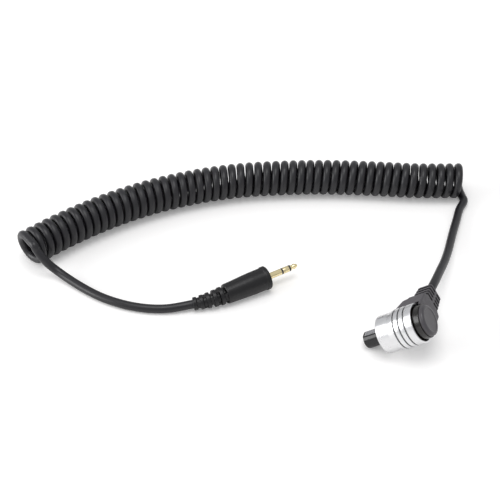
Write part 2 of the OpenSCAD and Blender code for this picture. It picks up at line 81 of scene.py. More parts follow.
# Plug frame: z from the collar's front face to the cap, x the cord's way out
NOSE_R = 3.15
NOSE_LEN = 7.7
NOSE_CHAMFER = 0.55
PLUG_PITCH = 36.1
PLUG_YAW = -14.5
PLUG_ROLL = -10
PLUG_SHIFT = (-6.85, -4.05)
pitch = math.radians(PLUG_PITCH)
plug_drop = (NOSE_LEN - NOSE_CHAMFER) * math.sin(pitch) + NOSE_R * math.cos(pitch)
PLUG = (
    Matrix.Translation((*PLUG_SHIFT, plug_drop))
    @ turn("Z", PLUG_YAW)
    @ turn("Y", 90 - PLUG_PITCH)
    @ turn("Z", 90 + PLUG_ROLL)
)

# Jack frame: x along the shaft, from the front face of the CAD's grip. The grip
# ends at GRIP_FRONT here, as the photograph shows more of the shaft.
JACK_R = 1.25
GRIP_R = 4.75
GRIP_LEN = 20.5
GRIP_FRONT = -1.8
JACK_PITCH = 2.5
JACK_YAW = 29
JACK_SHIFT = (-47.7, 30.6)
JACK = (
    Matrix.Translation((*JACK_SHIFT, GRIP_R + 0.15))
    @ turn("Z", JACK_YAW)
    @ turn("Y", -JACK_PITCH)
)

# Bend of the jack's strain relief
BEND_R = 31.4
BEND_ANGLE = 23.4
BEND_ROLL = -20
RELIEF_RINGS = 5
RELIEF_STEP = BEND_ANGLE / RELIEF_RINGS


def bend_frame(angle):
    """Frame on the relief's axis, angle degrees behind the grip, x forward."""
    return (
        JACK
        @ Matrix.Translation((-GRIP_LEN, 0, 0))
        @ turn("X", BEND_ROLL)
        @ Matrix.Translation((0, BEND_R, 0))
        @ turn("Z", -angle)
        @ Matrix.Translation((0, -BEND_R, 0))
    )


# ------------------------------------------------------------------ cord

CORD_D = 3.4
CORD_R = CORD_D / 2
COIL_D = 15.2
COIL_TURNS = 51.5
STEPS_PER_TURN = 24
ROUTE_STEPS = 4
FLOOR_GAP = 0.05
BOOT_REACH = 21.3
CORD_Z = 13.5
CORD_START_XS = (11, 15)
CORD_END_X = -13
COIL_R = (COIL_D - CORD_D) / 2
COIL_Z = COIL_D / 2 + FLOOR_GAP
COIL_AXIS = [
    (-144.5, 44), (-130, 57), (-114.5, 68.5), (-97.5, 78), (-79.5, 85),
    (-61, 89.5), (-41.5, 91.5), (-22.5, 92), (-3, 91), (16, 89.5), (35.5, 89.5),
]
HEAD_ROUTE = [
    (12.6, 16.5, 9.8), (14.9, 22, 8.6), (17.6, 29, 6.8), (20.7, 37, 4.7),
    (23.6, 45.5, 2.9), (26, 53.5, 1.6), (28.4, 61.5, 0.7), (31, 69.5, 0.2),
    (33.4, 77, 0),
]
JACK_ROUTE = [
    (-139.6, 38, 9.7), (-137.3, 36.5, 6.9), (-135.1, 36, 4), (-132.2, 35, 1.8),
    (-128.1, 32.2, 0.6), (-122, 27.5, 0.1), (-114.6, 22.3, 0), (-107.2, 18.5, 0),
    (-100, 16.1, 0), (-93, 15, 0), (-86.3, 15.1, 0.2),
]


def curve(points, t):
    """Point of a smooth curve through points, with t counted in points."""
    i = min(max(int(math.floor(t)), 0), len(points) - 2)
    f = t - i
    b, c = points[i], points[i + 1]
    a = points[i - 1] if i > 0 else 2 * b - c
    d = points[i + 2] if i + 2 < len(points) else 2 * c - b
    cubic = 3 * (b - c) + d - a
    return b + f / 2 * ((c - a) + f * ((2 * a - 5 * b + 4 * c - d) + f * cubic))


def smooth(points, steps):
    """The curve through points, with steps stretches between two of them."""
    points = [Vector(p) for p in points]
    count = (len(points) - 1) * steps
    return [curve(points, i / steps) for i in range(count + 1)]


def axis_at(k):
    axis = [Vector((*p, 0)) for p in COIL_AXIS]
    return curve(axis, (len(axis) - 1) * (1 - k / COIL_TURNS))


def coil_point(k):
    """Point of the left-hand helix, k curls from the plug's end."""
    centre = axis_at(k)
    a = (axis_at(max(k - 0.1, 0)) - axis_at(min(k + 0.1, COIL_TURNS))).normalized()
    angle = math.radians(180 + 360 * k)
    out = Vector((a.y * math.sin(angle), -a.x * math.sin(angle), math.cos(angle)))
    return centre + Vector((0, 0, COIL_Z)) + out * COIL_R


def coil_end(k, sign):
    """Straight run of one diameter out of the coil's end k."""
    way = (coil_point(k + 0.01) - coil_point(k - 0.01)).normalized()
    return [coil_point(k) + way * sign * CORD_D * i for i in (1, 2)]


def lift(route):
    return [Vector((x, y, z + CORD_R + FLOOR_GAP)) for x, y, z in route]


boot_exit = PLUG @ Vector((BOOT_REACH, 0, CORD_Z))
start_1, start_2 = coil_end(0, -1)
end_1, end_2 = coil_end(COIL_TURNS, 1)
head_way = [PLUG @ Vector((x, 0, CORD_Z)) for x in CORD_START_XS] + [boot_exit]
relief_way = [
    bend_frame(i * RELIEF_STEP) @ Vector((0, 0, 0))
    for i in range(RELIEF_RINGS, -1, -1)
]
steps = round(COIL_TURNS * STEPS_PER_TURN)
cord_line = (
    smooth(head_way + lift(HEAD_ROUTE) + [start_2, start_1], ROUTE_STEPS)[:-1]
    + [coil_point(k / STEPS_PER_TURN) for k in range(steps + 1)]
    + smooth(
        [end_1, end_2] + lift(JACK_ROUTE) + relief_way + [JACK @ Vector((CORD_END_X, 0, 0))],
        ROUTE_STEPS,
    )
)


def add_cord(material):
    data = bpy.data.curves.new("cord", "CURVE")
    data.dimensions = "3D"
    data.bevel_depth = CORD_R * MM
    data.bevel_resolution = 6
    data.use_fill_caps = True
    spline = data.splines.new("POLY")
    spline.points.add(len(cord_line) - 1)
    for point, place in zip(spline.points, cord_line):
        point.co = (*(place * MM), 1)
    spline.use_smooth = True
    cord = bpy.data.objects.new("cord", data)
    bpy.context.scene.collection.objects.link(cord)
    data.materials.append(material)
    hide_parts("tail_cord_head", "coil_cord", "tail_cord_jack")
    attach(cord, BODY)
    return cord


# -------------------------------------------------------------- materials


def shade(name, colour, roughness, metallic=0.0, specular=0.5):
    """Material with a Principled shader; returns it with its nodes."""
    material = bpy.data.materials.new(name)
    material.use_nodes = True
    tree = material.node_tree
    shader = tree.nodes["Principled BSDF"]
    shader.inputs["Base Color"].default_value = (*colour, 1)
    shader.inputs["Roughness"].default_value = roughness
    shader.inputs["Metallic"].default_value = metallic
    shader.inputs["Specular IOR Level"].default_value = specular
    return material, tree, shader


def noise(tree, size, detail):
    """Noise with features of about size mm, fixed to the object."""
    place = tree.nodes.new("ShaderNodeTexCoord")
    texture = tree.nodes.new("ShaderNodeTexNoise")
    texture.inputs["Scale"].default_value = 1 / (size * MM)
    texture.inputs["Detail"].default_value = detail
    tree.links.new(place.outputs["Object"], texture.inputs["Vector"])
    return texture.outputs["Fac"]


def ramp(tree, source, low, high, start=0.35, end=0.65):
    node = tree.nodes.new("ShaderNodeValToRGB")
    node.color_ramp.elements[0].position = start
    node.color_ramp.elements[1].position = end
    node.color_ramp.elements[0].color = low
    node.color_ramp.elements[1].color = high
    tree.links.new(source, node.inputs["Fac"])
    return node.outputs["Color"]


def tone(tree, shader, colour, size, spread):
    """Colour that drifts a little over patches of about size mm."""
    low = tuple(c * (1 - spread) for c in colour) + (1,)
    high = tuple(c * (1 + spread) for c in colour) + (1,)
    shade_of = ramp(tree, noise(tree, size, 4), low, high)
    tree.links.new(shade_of, shader.inputs["Base Color"])


def gloss(tree, shader, low, high, size):
    """Roughness that drifts from low to high over patches of about size mm."""
    value = ramp(tree, noise(tree, size, 5), (low,) * 3 + (1,), (high,) * 3 + (1,))
    tree.links.new(value, shader.inputs["Roughness"])


def grain(tree, shader, size, depth):
    """Surface relief of about depth mm at a scale of size mm."""
    bump = tree.nodes.new("ShaderNodeBump")
    bump.inputs["Distance"].default_value = depth * MM
    bump.inputs["Strength"].default_value = 1
    tree.links.new(noise(tree, size, 4), bump.inputs["Height"])
    tree.links.new(bump.outputs["Normal"], shader.inputs["Normal"])


def painted_crevice_shade(tree, shader, reach, depth, shut_in=(0.4, 0.8)):
    """Painted shade: base colour darkened where the surface faces itself within reach mm."""
    shut = tree.nodes.new("ShaderNodeAmbientOcclusion")
    shut.samples = 8
    shut.only_local = True
    shut.inputs["Distance"].default_value = reach * MM
    level = ramp(tree, shut.outputs["AO"], (1 - depth,) * 3 + (1,), (1, 1, 1, 1), *shut_in)
    mix = tree.nodes.new("ShaderNodeMix")
    mix.data_type = "RGBA"
    mix.blend_type = "MULTIPLY"
    mix.inputs["Factor"].default_value = 1
    base = shader.inputs["Base Color"].links[0].from_socket
    tree.links.new(base, mix.inputs["A"])
    tree.links.new(level, mix.inputs["B"])
    tree.links.new(mix.outputs["Result"], shader.inputs["Base Color"])


def cord_rubber():
    colour = (0.011, 0.0105, 0.013)
    material, tree, shader = shade("cord_rubber", colour, 0.36, specular=0.5)
    tone(tree, shader, colour, 9, 0.07)
    # painted shade: the cord darkens where its curls lie close together
    painted_crevice_shade(tree, shader, 1.2, 0.4)
    gloss(tree, shader, 0.33, 0.4, 4)
    grain(tree, shader, 0.35, 0.012)
    return material


def boot_rubber():
    colour = (0.078, 0.073, 0.08)
    material, tree, shader = shade("boot_rubber", colour, 0.5, specular=0.45)
    tone(tree, shader, colour, 5, 0.06)
    # painted shade: the boot's slots and hollows darken nearly to black
    painted_crevice_shade(tree, shader, 1.4, 0.97, (0.5, 0.86))
    gloss(tree, shader, 0.44, 0.54, 2)
    grain(tree, shader, 0.22, 0.014)
    return material


def cap_rubber():
    colour = (0.06, 0.056, 0.062)
    material, tree, shader = shade("cap_rubber", colour, 0.34, specular=0.5)
    tone(tree, shader, colour, 5, 0.06)
    # painted shade: the cap darkens in its own hollows
    painted_crevice_shade(tree, shader, 0.4, 0.8)
    gloss(tree, shader, 0.31, 0.37, 2)
    grain(tree, shader, 0.22, 0.008)
    return material


def grip_rubber():
    colour = (0.004, 0.0035, 0.0045)
    material, tree, shader = shade("grip_rubber", colour, 0.36, specular=0.45)
    tone(tree, shader, colour, 6, 0.07)
    # painted shade: the grip darkens between the rings of its strain relief
    painted_crevice_shade(tree, shader, 1, 0.9)
    gloss(tree, shader, 0.32, 0.42, 2.5)
    grain(tree, shader, 0.25, 0.012)
    return material


def nose_plastic():
    colour = (0.006, 0.006, 0.007)
    material, tree, shader = shade("nose_plastic", colour, 0.2, specular=0.55)
    tone(tree, shader, colour, 4, 0.08)
    gloss(tree, shader, 0.16, 0.25, 1.5)
    grain(tree, shader, 0.5, 0.004)
    return material


def barrel_plastic():
    colour = (0.004, 0.003, 0.002)
    material, tree, shader = shade("barrel_plastic", colour, 0.22, specular=0.65)
    tone(tree, shader, colour, 4, 0.08)
    gloss(tree, shader, 0.19, 0.26, 1.5)
    grain(tree, shader, 0.6, 0.005)
    return material


def insert_plastic():
    colour = (0.03, 0.03, 0.032)
    material, tree, shader = shade("insert_plastic", colour, 0.5)
    tone(tree, shader, colour, 2, 0.1)
    grain(tree, shader, 0.2, 0.006)
    return material


def mould_resin():
    colour = (0.78, 0.77, 0.72)
    material, tree, shader = shade("mould_resin", colour, 0.5)
    tone(tree, shader, colour, 3, 0.04)
    grain(tree, shader, 0.4, 0.01)
    return material


def wire_cover():
    colour = (0.5, 0.06, 0.05)
    material, tree, shader = shade("wire_cover", colour, 0.4)
    tone(tree, shader, colour, 1, 0.08)
    return material


def collar_metal():
    colour = (0.84, 0.84, 0.85)
    material, tree, shader = shade("collar_metal", colour, 0.22, metallic=1)
    tone(tree, shader, colour, 3, 0.02)
    # painted shade: the collar's grooves and bores darken
    painted_crevice_shade(tree, shader, 0.7, 0.85, (0.5, 0.85))
    gloss(tree, shader, 0.27, 0.3, 2.5)
    grain(tree, shader, 0.1, 0.0003)
    return material


def gold_plate():
    colour = (0.98, 0.84, 0.5)
    material, tree, shader = shade("gold_plate", colour, 0.12, metallic=1)
    tone(tree, shader, colour, 1.5, 0.04)
    gloss(tree, shader, 0.08, 0.15, 0.6)
    return material


def bright_steel():
    colour = (0.6, 0.6, 0.62)
    material, tree, shader = shade("bright_steel", colour, 0.3, metallic=1)
    tone(tree, shader, colour, 1, 0.06)
    gloss(tree, shader, 0.24, 0.38, 0.4)
    return material


FINISHES = {
    "plug_black": nose_plastic,
    "insert_black": insert_plastic,
    "gold": gold_plate,
    "steel": bright_steel,
    "collar_metal": collar_metal,
    "barrel_gloss": barrel_plastic,
    "boot_rubber": boot_rubber,
    "cord_rubber": cord_rubber,
    "wire_red": wire_cover,
    "mould_pale": mould_resin,
    "grip_rubber": grip_rubber,
}


def dress_nodes(finishes):
    """Gives every CAD node the finish of its slot in the record."""
    for part in frame["record"]["subparts"]:
        mesh = nodes[part["node"]].data
        mesh.materials.clear()
        mesh.materials.append(finishes[part["material_slot"]])


# ------------------------------------------------------- building in meshes

MERGE_DIST = 1e-5
STRAIGHT_HALF_ANGLE = 89
BEVEL_ANGLE = 40
SHARP_ANGLE = 38

def corner(before, at, after, radius, steps=4):
    """Points of the arc that rounds one corner of an outline."""
    at, before, after = Vector(at), Vector(before), Vector(after)
    a, b = (before - at).normalized(), (after - at).normalized()
    half = a.angle(b) / 2
    if radius <= 0 or half > math.radians(STRAIGHT_HALF_ANGLE):
        return [tuple(at)]
    reach = radius / math.tan(half)
    centre = at + (a + b).normalized() * radius / math.sin(half)
    start, end = at + a * reach - centre, at + b * reach - centre
    swing = start.angle_signed(end)
    points = []
    for i in range(steps + 1):
        turned = start.copy()
        turned.rotate(Matrix.Rotation(-swing * i / steps, 2))
        points.append(tuple(centre + turned))
    return points


def rounded(outline):
    """Closed outline from (u, v, corner radius) triples."""
    points = []
    for i, (u, v, radius) in enumerate(outline):
        before, after = outline[i - 1], outline[(i + 1) % len(outline)]
        points += corner(before[:2], (u, v), after[:2], radius)
    return points


def new_object(name, bm):
    """Object from a bmesh, with doubles merged and its faces turned outward."""
    mesh = bpy.data.meshes.new(name)
    bmesh.ops.remove_doubles(bm, verts=bm.verts, dist=MERGE_DIST)
    bmesh.ops.recalc_face_normals(bm, faces=bm.faces)
    bm.to_mesh(mesh)
    bm.free()
    obj = bpy.data.objects.new(name, mesh)
    bpy.context.scene.collection.objects.link(obj)
    return obj


def loft(bm, rings, closed=False):
    """Skin over rings of equal length; an open one is capped at both ends."""
    rows = [[bm.verts.new(p) for p in ring] for ring in rings]
    pairs = list(zip(rows, rows[1:] + rows[:1])) if closed else zip(rows, rows[1:])
    for low, high in pairs:
        for j in range(len(low)):
            k = (j + 1) % len(low)
            bm.faces.new((low[j], low[k], high[k], high[j]))
    if not closed:
        bm.faces.new(rows[0])
        bm.faces.new(rows[-1])


def turned(bm, outline, segments=128, place=Matrix()):
    """Closed outline (radius, height) turned round z."""
    profile = rounded(outline)
    rings = []
    for i in range(segments):
        a = 2 * math.pi * i / segments
        rings.append([place @ Vector((r * math.cos(a), r * math.sin(a), z))
                      for r, z in profile])
    loft(bm, rings, closed=True)


def box(bm, low, high, place=Matrix()):
    """Box between two corners."""
    x0, y0, z0 = low
    x1, y1, z1 = high
    square = [(x0, y0), (x1, y0), (x1, y1), (x0, y1)]
    loft(bm, [[place @ Vector((x, y, z)) for x, y in square] for z in (z0, z1)])


def rod(bm, start, end, radius, sides=64):
    """Round rod from start to end."""
    start, end = Vector(start), Vector(end)
    way = (end - start).to_track_quat("Z", "Y").to_matrix()
    ring = [way @ Vector((radius * math.cos(2 * math.pi * j / sides),
                          radius * math.sin(2 * math.pi * j / sides), 0))
            for j in range(sides)]
    loft(bm, [[start + p for p in ring], [end + p for p in ring]])


def apply_modifiers(obj):
    """Puts the mesh that the modifiers give in place of the object's own."""
    graph = bpy.context.evaluated_depsgraph_get()
    mesh = bpy.data.meshes.new_from_object(obj.evaluated_get(graph))
    obj.modifiers.clear()
    old, obj.data = obj.data, mesh
    bpy.data.meshes.remove(old)


def carve(obj, *makers):
    """Cuts away the solids that the makers add to a mesh."""
    tools = []
    for i, make in enumerate(makers):
        bm = bmesh.new()
        make(bm)
        tool = new_object(f"{obj.name}_cut_{i}", bm)
        cut = obj.modifiers.new("cut", "BOOLEAN")
        cut.operation = "DIFFERENCE"
        cut.solver = "EXACT"
        cut.use_self = True
        cut.object = tool
        tools.append(tool)
    apply_modifiers(obj)
    for tool in tools:
        mesh = tool.data
        bpy.data.objects.remove(tool)
        bpy.data.meshes.remove(mesh)


def ease_edges(obj, width):
    """Rounds the sharp edges a little."""
    bevel = obj.modifiers.new("edges", "BEVEL")
    bevel.width = width
    bevel.segments = 2
    bevel.limit_method = "ANGLE"
    bevel.angle_limit = math.radians(BEVEL_ANGLE)
    apply_modifiers(obj)


def fuse(obj, cell, rounds):
    """Fuses overlapping shells and softens their edges, as moulded rubber."""
    remesh = obj.modifiers.new("fuse", "REMESH")
    remesh.mode = "VOXEL"
    remesh.voxel_size = cell
    ease = obj.modifiers.new("ease", "SMOOTH")
    ease.factor = 0.5
    ease.iterations = rounds
    apply_modifiers(obj)


def settle(obj, place, finish, slot, body, *replaced):
    """Moves a piece from its own frame in mm to the scene, gives it its finish and hangs it
    on its body.
    """
    obj.data.transform(Matrix.Scale(MM, 4) @ place)
    obj.data.shade_smooth()
    obj.data.set_sharp_from_angle(angle=math.radians(SHARP_ANGLE))
    even = obj.modifiers.new("even", "WEIGHTED_NORMAL")
    even.keep_sharp = True
    apply_modifiers(obj)
    obj.data.materials.clear()
    obj.data.materials.append(finish)
    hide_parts(*replaced)
    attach(obj, body)
    return obj


# ------------------------------------------------------------ plug's pieces

# Collar: outside, then its bores from the face to the rear
COLLAR_R = 7.5
COLLAR_LEN = 15.1
COLLAR_FRONT_R = 7.1
TAPER_ZS = (5, 7.2)
FACE_EDGE = 0.582
GROOVE_ZS = (7.5, 9.65, 11.8)
GROOVE_W = 0.55
GROOVE_DEPTH = 0.45
GROOVE_FLARE = 0.03
GROOVE_EDGE = 0.08
FACE_BORE_R = 5.7
FACE_LIP_Z = 1.2
CLAW_ROOM_R = 6.05
LAND_BORE_R = 5.6
LAND_LEN = 2
SPRING_ROOM_R = 6.4
SPRING_ROOM_END_Z = 12.9
REAR_BORE_R = 6.86

# Barrel
BARREL_R = 6.2
BARREL_BORE_R = 4.4
GUIDE_R = 5.55
GUIDE_Z = 4.9
FLANGE_Z = 12.6
HEAD_R = 5.25
HEAD_ZS = (0.9, 4.3)
RING_SEAT_R = 4.9
STEM_R = 2.8
STEM_END_Z = 6.2
CLAW_ANGLE = 105
CLAW_SLOT_W = 2.6
CLAW_SLOT_XS = (3, 6.5)

# Cap
CAP_R = 5.85
CAP_Z = 17.55
CAP_END_Z = 19.2
CAP_EDGE = 1.05
CAP_DRAFT = 0.15
CAP_PLUG_R = BARREL_BORE_R - 0.01
CAP_PLUG_LEN = 0.6
DISH_RIM_R = CAP_R - 1.45
DISH_R = CAP_R - 1.7
DISH_DEPTH = 0.15
DISH_CROWN = 0.03

# Nose, its keyway and its flat with a leaf
NOSE_BORE_R = 2.45
NOSE_REAR_Z = -1
KEYWAY_ANGLE = 137
KEYWAY_W = 1.2
KEYWAY_DEPTH = 0.4
FLAT_ANGLE = 97
FLAT_X = 2.7
FLAT_HALF = 3
LEAF_YS = (-1.3, 1.0)
LEAF_T = 0.12
LEAF_TIP_T = 0.04
LEAF_TIP = 0.75
LEAF_RAMP_END = 1
LEAF_ROOT_Z = -1.05
LEAF_SINK = 0.02


def make_nose():
    bm = bmesh.new()
    turned(bm, [
        (NOSE_BORE_R, -NOSE_LEN, 0.12), (NOSE_R, -NOSE_LEN, NOSE_CHAMFER),
        (NOSE_R, NOSE_REAR_Z, 0.06), (STEM_R, NOSE_REAR_Z, 0),
        (STEM_R, STEM_END_Z, 0.1), (NOSE_BORE_R, STEM_END_Z, 0.1),
    ], 160)
    nose = new_object("plug_nose", bm)

    def side_cut(x, half, angle):
        low, high = (x, -half, -NOSE_LEN - 1), (NOSE_R + 1, half, NOSE_REAR_Z)
        return lambda bm: box(bm, low, high, turn("Z", angle))

    carve(
        nose,
        side_cut(NOSE_R - KEYWAY_DEPTH, KEYWAY_W / 2, KEYWAY_ANGLE),
        side_cut(FLAT_X, FLAT_HALF, FLAT_ANGLE),
    )
    ease_edges(nose, 0.05)
    return nose


def make_leaf():
    """Steel leaf on the flat of the nose, thin at its front."""
    bm = bmesh.new()
    left, right = LEAF_YS
    rings = []
    for z, top in (
        (LEAF_TIP - NOSE_LEN, LEAF_TIP_T), (LEAF_RAMP_END - NOSE_LEN, LEAF_T),
        (LEAF_ROOT_Z, LEAF_T),
    ):
        place = turn("Z", FLAT_ANGLE) @ Matrix.Translation((FLAT_X, 0, z))
        section = ((-LEAF_SINK, left), (top, left), (top, right), (-LEAF_SINK, right))
        rings.append([place @ Vector((x, y, 0)) for x, y in section])
    loft(bm, rings)
    return new_object("leaf", bm)


def make_collar():
    outline = [
        (FACE_BORE_R, 0, 0), (COLLAR_FRONT_R, 0, FACE_EDGE),
        (COLLAR_FRONT_R, TAPER_ZS[0], 2.5), (COLLAR_R, TAPER_ZS[1], 1),
    ]
    floor = COLLAR_R - GROOVE_DEPTH
    for z in GROOVE_ZS:
        end = z + GROOVE_W
        outline += [
            (COLLAR_R, z - GROOVE_FLARE, 0.09), (floor, z + GROOVE_EDGE, GROOVE_EDGE),
            (floor, end - GROOVE_EDGE, GROOVE_EDGE), (COLLAR_R, end + GROOVE_FLARE, 0.09),
        ]
    outline += [
        (COLLAR_R, COLLAR_LEN, 0.3), (REAR_BORE_R, COLLAR_LEN, 0.05),
        (REAR_BORE_R, SPRING_ROOM_END_Z, 0.1), (SPRING_ROOM_R, SPRING_ROOM_END_Z, 0),
        (SPRING_ROOM_R, GUIDE_Z + LAND_LEN, 0.1), (LAND_BORE_R, GUIDE_Z + LAND_LEN, 0.1),
        (LAND_BORE_R, GUIDE_Z, 0.1), (CLAW_ROOM_R, GUIDE_Z, 0.1),
        (CLAW_ROOM_R, FACE_LIP_Z, 0.1), (FACE_BORE_R, FACE_LIP_Z, 0),
    ]
    bm = bmesh.new()
    turned(bm, outline, 224)
    return new_object("collar", bm)


def make_barrel():
    bm = bmesh.new()
    turned(bm, [
        (STEM_R, HEAD_ZS[0], 0.05), (HEAD_R, HEAD_ZS[0], 0.15),
        (HEAD_R, HEAD_ZS[1], 0.05), (RING_SEAT_R, HEAD_ZS[1], 0),
        (RING_SEAT_R, GUIDE_Z, 0), (GUIDE_R, GUIDE_Z, 0.1), (GUIDE_R, FLANGE_Z, 0.1),
        (BARREL_R, FLANGE_Z, 0.12), (BARREL_R, CAP_Z, 0.15),
        (BARREL_BORE_R, CAP_Z, 0.1), (BARREL_BORE_R, STEM_END_Z, 0.1),
        (STEM_R, STEM_END_Z, 0.05),
    ], 192)
    barrel = new_object("barrel", bm)

    def claw_slots(bm):
        near, far = CLAW_SLOT_XS
        for side in (0, 180):
            box(bm, (near, -CLAW_SLOT_W / 2, 0), (far, CLAW_SLOT_W / 2, HEAD_ZS[1]),
                turn("Z", CLAW_ANGLE + side))

    carve(barrel, claw_slots)
    return barrel


def make_cap():
    bm = bmesh.new()
    turned(bm, [
        (0, CAP_Z - CAP_PLUG_LEN, 0), (CAP_PLUG_R, CAP_Z - CAP_PLUG_LEN, 0.1),
        (CAP_PLUG_R, CAP_Z, 0), (CAP_R, CAP_Z, 0.2),
        (CAP_R - CAP_DRAFT, CAP_END_Z, CAP_EDGE), (DISH_RIM_R, CAP_END_Z, 0.12),
        (DISH_R, CAP_END_Z - DISH_DEPTH, 0.15),
        (0, CAP_END_Z - DISH_DEPTH + DISH_CROWN, 0),
    ], 160)
    return new_object("cap", bm)


# Boot: hood over the collar, box and slotted relief
BOOT_X0 = 3.4
BOOT_FRONT_Z = 5.4
BOOT_REAR_Z = 17.15
RELIEF_Z = 10.0
SLOT_XS = [13.1 + 2 * i for i in range(4)]
SLOT_W = 1.1
SPINE_HALF = 0.55
SLOT_WALL = 0.2
SLOT_SIDE_Y = 3
SLOT_REACH = 8
SLOT_OVER = 2
HOOD_GAP = 0.25
BARREL_GRIP = 0.03
HOOD_END_Z = 16.25
BARREL_CUT_ZS = (16, 18)
CORD_CUT_XS = (11, 23)
CORD_GAP = 0.06
CELL = 0.115

# Sections across the boot: x, half width, lowest z, highest z, corner radius
BOOT_ROWS = (
    (BOOT_X0, 5.9, BOOT_FRONT_Z, BOOT_REAR_Z, 0.6),
    (9.8, 5.78, BOOT_FRONT_Z + 2.4, BOOT_REAR_Z, 0.6),
    (10.4, 5.76, RELIEF_Z - 0.1, BOOT_REAR_Z, 0.6),
    (11.0, 5.75, RELIEF_Z, BOOT_REAR_Z, 0.6),
    (11.9, 4.2, RELIEF_Z, BOOT_REAR_Z, 0.7),
    (20.3, 3.75, RELIEF_Z + 0.7, BOOT_REAR_Z - 0.3, 0.8),
    (20.8, 3.45, RELIEF_Z + 1.0, BOOT_REAR_Z - 0.65, 0.8),
    (BOOT_REACH, 3.0, RELIEF_Z + 1.3, BOOT_REAR_Z - 1.1, 0.8),
)


def boot_section(x, half, low, high, radius, steps=6):
    """Rounded oblong across the boot, at x."""
    outline = [(-half, low, radius), (half, low, radius),
               (half, high, radius), (-half, high, radius)]
    points = []
    for i, (y, z, r) in enumerate(outline):
        before, after = outline[i - 1][:2], outline[(i + 1) % 4][:2]
        points += corner(before, (y, z), after, r, steps)
    return [Vector((x, y, z)) for y, z in points]


def boot_slots(bm):
    """Slots of the relief, open to both sides, that leave a spine and a core."""
    core = CORD_R + SLOT_WALL
    bottom, top = RELIEF_Z - SLOT_OVER, BOOT_REAR_Z + SLOT_OVER
    for x in SLOT_XS:
        for side in (-1, 1):
            for y, low, high in (
                (SPINE_HALF, CORD_Z + core, top),
                (SPINE_HALF, bottom, CORD_Z - core),
                (SLOT_SIDE_Y, bottom, top),
            ):
                y0, y1 = sorted((side * y, side * SLOT_REACH))
                box(bm, (x - SLOT_W / 2, y0, low), (x + SLOT_W / 2, y1, high))


def make_boot():
    bm = bmesh.new()
    loft(bm, [boot_section(*row) for row in BOOT_ROWS])
    boot = new_object("boot", bm)
    start, end = [(x, 0, CORD_Z) for x in CORD_CUT_XS]
    low, high = [(0, 0, z) for z in BARREL_CUT_ZS]
    carve(
        boot,
        lambda bm: rod(bm, (0, 0, 0), (0, 0, HOOD_END_Z), COLLAR_R + HOOD_GAP, 160),
        lambda bm: rod(bm, low, high, BARREL_R - BARREL_GRIP, 160),
        lambda bm: rod(bm, start, end, CORD_R + CORD_GAP),
        boot_slots,
    )
    fuse(boot, CELL, 3)
    return boot


# ------------------------------------------------------------ jack's pieces

# Shaft: where each contact starts and ends, and the tubes inside
SLEEVE_XS = (-4.5, 4.35)
RING_REAR_X = -6
RING_XS = (5.05, 7.75)
TIP_REAR_X = -9
TIP_X = 8.45
JACK_END_X = 11.65
BAND_REAR_XS = (-7, -5)
TIP_ROD_R = 0.4
RING_BORE_R = 0.6
RING_TUBE_R = 0.8
SLEEVE_BORE_R = 1
SHANK_R = 1.55
NECK_R = 1.85
NECK_SEAT = 0.5
BAND_R = JACK_R - 0.02
BAND_W = 0.7

# Tip's outside, over its waist to the point: radius, x, corner radius
TIP_ROWS = (
    (JACK_R - 0.1, TIP_X, 0.05), (JACK_R - 0.12, TIP_X + 0.35, 0.1),
    (JACK_R - 0.45, TIP_X + 0.9, 0.3), (JACK_R - 0.1, TIP_X + 1.75, 0.3),
    (0.6, JACK_END_X - 0.05, 0.3),
)

# Grip and its strain relief
GRIP_BORE_R = CORD_R + 0.05
GRIP_HOLLOW = 3
RELIEF_BORE_R = CORD_R + 0.08
RELIEF_CORE_R = CORD_R + 0.42
RELIEF_GAP = 0.4 * RELIEF_STEP
RELIEF_R0 = 3.6
RELIEF_R1 = 2.6
WEB_REACH = 0.86
WEB_HALF = 0.42
WEB_OVERLAP = 0.15

# Grip's outside, from its rear end to its rim: radius, x, corner radius
GRIP_ROWS = (
    (3.4, -GRIP_LEN, 0), (3.95, -GRIP_LEN + 0.15, 0.5), (4.1, -16.5, 3),
    (4.47, -9, 8), (4.5, GRIP_FRONT - 1.95, 0.1), (GRIP_R, GRIP_FRONT - 1.75, 0.2),
    (GRIP_R, GRIP_FRONT, 0.45),
)
LATHE_X = Matrix.Rotation(math.radians(90), 4, "Y")


def turned_jack(name, outline, finish, slot, *replaced):
    """Turned piece of the shaft, from (radius, x, corner radius) triples."""
    bm = bmesh.new()
    turned(bm, outline, 96, LATHE_X)
    return settle(new_object(name, bm), JACK, finish, slot, BODY, *replaced)


def relief_ring(bm, radius, start, end):
    """Ring of the strain relief between two angles of its bend."""
    middle = bend_frame((start + end) / 2)
    half = math.radians(end - start) / 2 * BEND_R
    turned(bm, [
        (RELIEF_BORE_R, -half, 0), (radius, -half, 0.3), (radius, half, 0.3),
        (RELIEF_BORE_R, half, 0),
    ], 64, JACK.inverted() @ middle @ LATHE_X)


def relief_web(bm, radius, angle, half, turn_by):
    """Two webs that join neighbouring rings of the relief."""
    place = JACK.inverted() @ bend_frame(angle) @ turn("X", turn_by)
    for side in (-1, 1):
        y0, y1 = sorted((side * (CORD_R + 0.1), side * radius * WEB_REACH))
        z = radius * WEB_HALF
        box(bm, (-half, y0, -z), (half, y1, z), place)


def relief_core(bm, steps=24, sides=48):
    """Thin tube along the bend that carries the rings: out, then back inside."""
    out = [(RELIEF_CORE_R, k) for k in range(steps + 1)]
    back = [(RELIEF_BORE_R, steps - k) for k in range(steps + 1)]
    rings = []
    for r, k in out + back:
        at = JACK.inverted() @ bend_frame((BEND_ANGLE - 0.1) * k / steps)
        rings.append([at @ Vector((0, r * math.cos(t), r * math.sin(t)))
                      for t in (2 * math.pi * j / sides for j in range(sides))])
    loft(bm, rings, closed=True)


